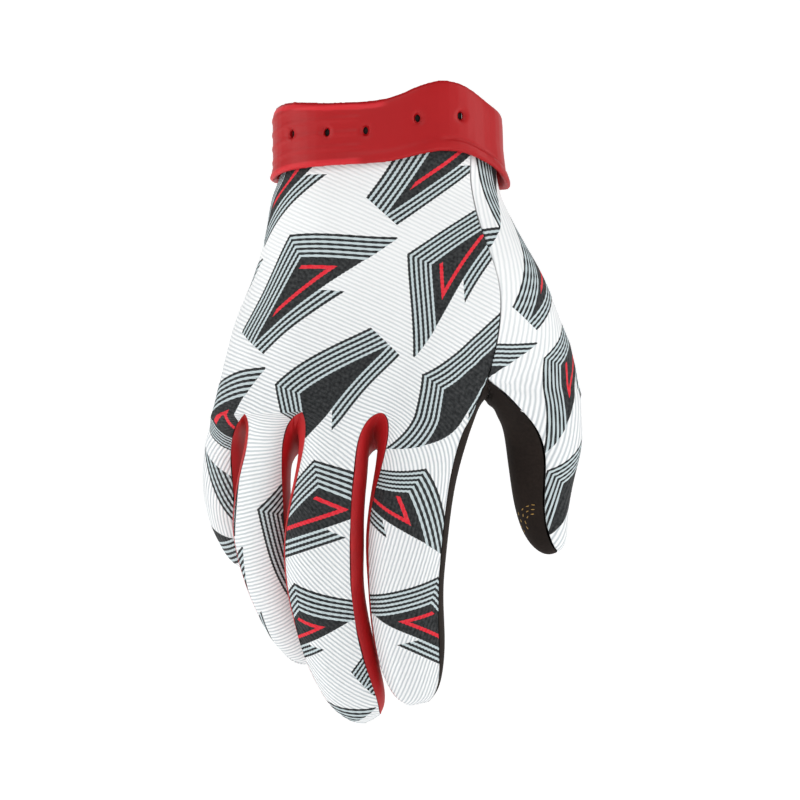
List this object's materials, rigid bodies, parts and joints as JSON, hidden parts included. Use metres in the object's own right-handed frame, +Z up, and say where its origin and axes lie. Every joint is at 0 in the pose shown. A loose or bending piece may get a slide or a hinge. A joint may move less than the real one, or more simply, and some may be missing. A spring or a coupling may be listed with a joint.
{
  "type": "off-road riding glove",
  "caption": "Right-hand full-finger riding glove, shown worn: printed stretch back, suede palm, knit finger sides and a perforated pull-on cuff.",
  "frame": {"origin": "centre of the wrist opening, at the height of the cuff's top rim beside the raised middle", "axes": "+Z up out of the wrist with the fingers pointing to -Z, back of the hand to -Y, thumb to +X"},
  "size_m": [0.1269, 0.0847, 0.212],
  "materials": {
    "printed_knit": "white ribbed stretch knit with a black, grey and red print",
    "black_suede": "black synthetic suede, matt, short nap",
    "red_knit": "plain red stretch knit, matt",
    "red_band": "smooth matt red moulded band with rounded rims"
  },
  "bodies": {
    "root": {"back_panel": "printed_knit", "thumb_back": "printed_knit", "palm_panel": "black_suede", "thumb_palm": "black_suede", "fourchette_little_ring": "red_knit", "fourchette_ring_middle": "red_knit", "fourchette_middle_index": "red_knit", "cuff": "red_band"}
  },
  "joints": []
}
